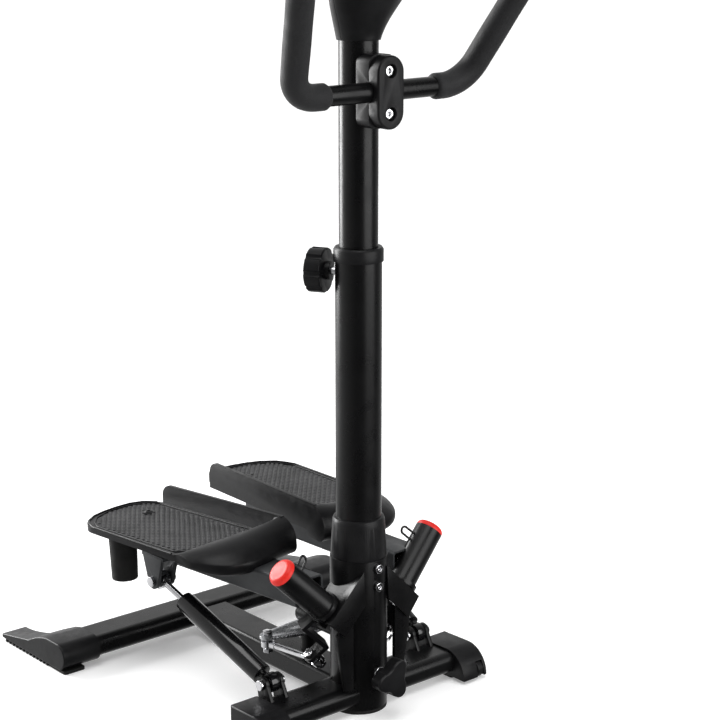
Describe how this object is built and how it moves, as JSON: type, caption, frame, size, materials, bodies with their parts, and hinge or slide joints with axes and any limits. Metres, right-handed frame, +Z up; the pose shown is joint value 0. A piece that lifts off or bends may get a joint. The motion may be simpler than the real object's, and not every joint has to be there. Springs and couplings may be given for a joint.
{
  "type": "stepper",
  "caption": "Free-standing twist stepper: inclined hydraulic pedals joined by a rocker, on an H-shaped base, with a height-adjustable post, a padded handlebar and a display.",
  "frame": {"origin": "on the floor, on the vertical axis of the post", "axes": "+X to the right as seen from the front, -Y to the front (post side), +Y to the pedals' heels, +Z up"},
  "size_m": [0.512, 0.689, 1.089],
  "materials": {
    "frame_paint": "glossy black powder coat",
    "cylinder_paint": "glossy black enamel",
    "moulded_plastic": "satin black moulded plastic",
    "knob_plastic": "satin black, eight or three lobes",
    "pedal_plastic": "satin black, raised tread",
    "rubber": "matt black rubber",
    "grip_foam": "fine matt foam",
    "chrome": "bright chrome plate",
    "zinc_steel": "bright zinc plate",
    "arm_steel": "satin grey paint",
    "cap_red": "glossy red",
    "display_lens": "clear dark window",
    "button_plastic": "satin grey"
  },
  "bodies": {
    "base": {"front_crossbar": "frame_paint", "rear_crossbar": "frame_paint", "base_socket": "frame_paint", "main_beam": "frame_paint", "front_end_cap_left": "moulded_plastic", "front_end_cap_right": "moulded_plastic", "rear_foot_left": "moulded_plastic", "rear_foot_right": "moulded_plastic", "foot_pads": "rubber", "wheel_axles": "zinc_steel", "pivot_brackets": "frame_paint", "pivot_shafts": "zinc_steel", "lower_post": "frame_paint", "post_sleeve": "moulded_plastic", "top_bush": "moulded_plastic", "socket_bolts": "chrome", "cylinder_ears": "frame_paint", "cylinder_base_bolts": "chrome", "rocker_pivot": "frame_paint"},
    "wheel_left": {"transport_wheel_left": "moulded_plastic"},
    "wheel_right": {"transport_wheel_right": "moulded_plastic"},
    "height_knob": {"height_knob": "knob_plastic", "height_knob_screw": "chrome"},
    "front_knob": {"front_knob": "knob_plastic", "front_knob_screw": "chrome"},
    "upper": {"upper_post": "frame_paint", "clamp_rear": "moulded_plastic", "clamp_front": "moulded_plastic", "clamp_bolts": "chrome", "handlebar": "frame_paint", "grip_left": "grip_foam", "grip_right": "grip_foam", "grip_end_plugs": "moulded_plastic", "neck_front": "moulded_plastic", "neck_rear": "moulded_plastic", "console_housing": "moulded_plastic", "console_lens": "display_lens"},
    "button": {"console_button": "button_plastic"},
    "rocker": {"rocker": "zinc_steel", "rocker_bolts": "chrome"},
    "pedal_left": {"pedal_left": "pedal_plastic", "pedal_arm_left": "arm_steel", "pivot_sleeve_left": "frame_paint", "pivot_bushes_left": "moulded_plastic", "sleeve_cap_left": "cap_red", "bumper_left": "rubber", "pedal_bolts_left": "chrome"},
    "cylinder_left": {"cylinder_left": "cylinder_paint"},
    "rod_left": {"cylinder_rod_left": "chrome"},
    "link_left": {"link_left": "chrome"},
    "pedal_right": {"pedal_right": "pedal_plastic", "pedal_arm_right": "arm_steel", "pivot_sleeve_right": "frame_paint", "pivot_bushes_right": "moulded_plastic", "sleeve_cap_right": "cap_red", "bumper_right": "rubber", "pedal_bolts_right": "chrome"},
    "cylinder_right": {"cylinder_right": "cylinder_paint"},
    "rod_right": {"cylinder_rod_right": "chrome"},
    "link_right": {"link_right": "chrome"}
  },
  "joints": [
    {"name": "pedal_left_swing", "type": "hinge", "parent": "base", "child": "pedal_left", "pos_m": [-0.126, 0.001, 0.216], "axis": [-0.7032, 0.1055, 0.7032], "range_deg": [-13, 9]},
    {"name": "pedal_right_swing", "type": "hinge", "parent": "base", "child": "pedal_right", "pos_m": [0.126, 0.001, 0.216], "axis": [0.7032, 0.1055, 0.7032], "range_deg": [-13.3, 9.3]},
    {"name": "cylinder_left_swing", "type": "hinge", "parent": "base", "child": "cylinder_left", "pos_m": [-0.128, 0.027, 0.058], "axis": [-0.5318, 0.1119, 0.8395], "range_deg": [-14.78, 10.33]},
    {"name": "rod_left_swing", "type": "hinge", "parent": "pedal_left", "child": "rod_left", "pos_m": [-0.15398, 0.23377, 0.14735], "axis": [0.3771, -0.9212, -0.0962], "range_deg": [-8.02, 5.64]},
    {"name": "cylinder_right_swing", "type": "hinge", "parent": "base", "child": "cylinder_right", "pos_m": [0.128, 0.027, 0.058], "axis": [0.531, 0.1134, 0.8397], "range_deg": [-14.74, 10.29]},
    {"name": "rod_right_swing", "type": "hinge", "parent": "pedal_right", "child": "rod_right", "pos_m": [0.14199, 0.23794, 0.15872], "axis": [-0.3144, -0.9404, -0.1297], "range_deg": [-8.06, 5.67]},
    {"name": "rocker_turn", "type": "hinge", "parent": "base", "child": "rocker", "pos_m": [0, 0.106, 0.076], "axis": [0, 0, 1], "range_deg": [-10.26, 7.19]},
    {"name": "link_left_swing", "type": "hinge", "parent": "rocker", "child": "link_left", "pos_m": [-0.06619, 0.11222, 0.068], "axis": [0.1719, -0.0653, -0.9829], "range_deg": [-12.56, 8.79]},
    {"name": "link_right_swing", "type": "hinge", "parent": "rocker", "child": "link_right", "pos_m": [0.06576, 0.11577, 0.068], "axis": [-0.1547, -0.0749, -0.9851], "range_deg": [-12.56, 8.79]},
    {"name": "post_slide", "type": "slide", "parent": "base", "child": "upper", "axis": [0, 0, 1], "range_m": [-0.14, 0.1]},
    {"name": "height_knob_turn", "type": "hinge", "parent": "base", "child": "height_knob", "pos_m": [0, 0, 0.59], "axis": [-0.4848, 0.8746, 0], "continuous": true},
    {"name": "front_knob_turn", "type": "hinge", "parent": "base", "child": "front_knob", "pos_m": [0, 0, 0.057], "axis": [0, -1, 0], "continuous": true},
    {"name": "wheel_left_spin", "type": "hinge", "parent": "base", "child": "wheel_left", "pos_m": [-0.178, -0.04, 0.013], "axis": [1, 0, 0], "continuous": true},
    {"name": "wheel_right_spin", "type": "hinge", "parent": "base", "child": "wheel_right", "pos_m": [0.178, -0.04, 0.013], "axis": [1, 0, 0], "continuous": true},
    {"name": "button_press", "type": "slide", "parent": "upper", "child": "button", "axis": [0, -0.6157, -0.788], "range_m": [0, 0.002], "stiffness_N_per_m": 250}
  ],
  "couplings": [
    {"joint": "pedal_right_swing", "follows": "pedal_left_swing", "ratio": 1},
    {"joint": "cylinder_left_swing", "follows": "pedal_left_swing", "ratio": 1.1139},
    {"joint": "rod_left_swing", "follows": "pedal_left_swing", "ratio": 0.59354},
    {"joint": "cylinder_right_swing", "follows": "pedal_left_swing", "ratio": 1.1106},
    {"joint": "rod_right_swing", "follows": "pedal_left_swing", "ratio": 0.59674},
    {"joint": "rocker_turn", "follows": "pedal_left_swing", "ratio": 0.76596},
    {"joint": "link_left_swing", "follows": "pedal_left_swing", "ratio": 0.94334},
    {"joint": "link_right_swing", "follows": "pedal_left_swing", "ratio": 0.94291}
  ]
}
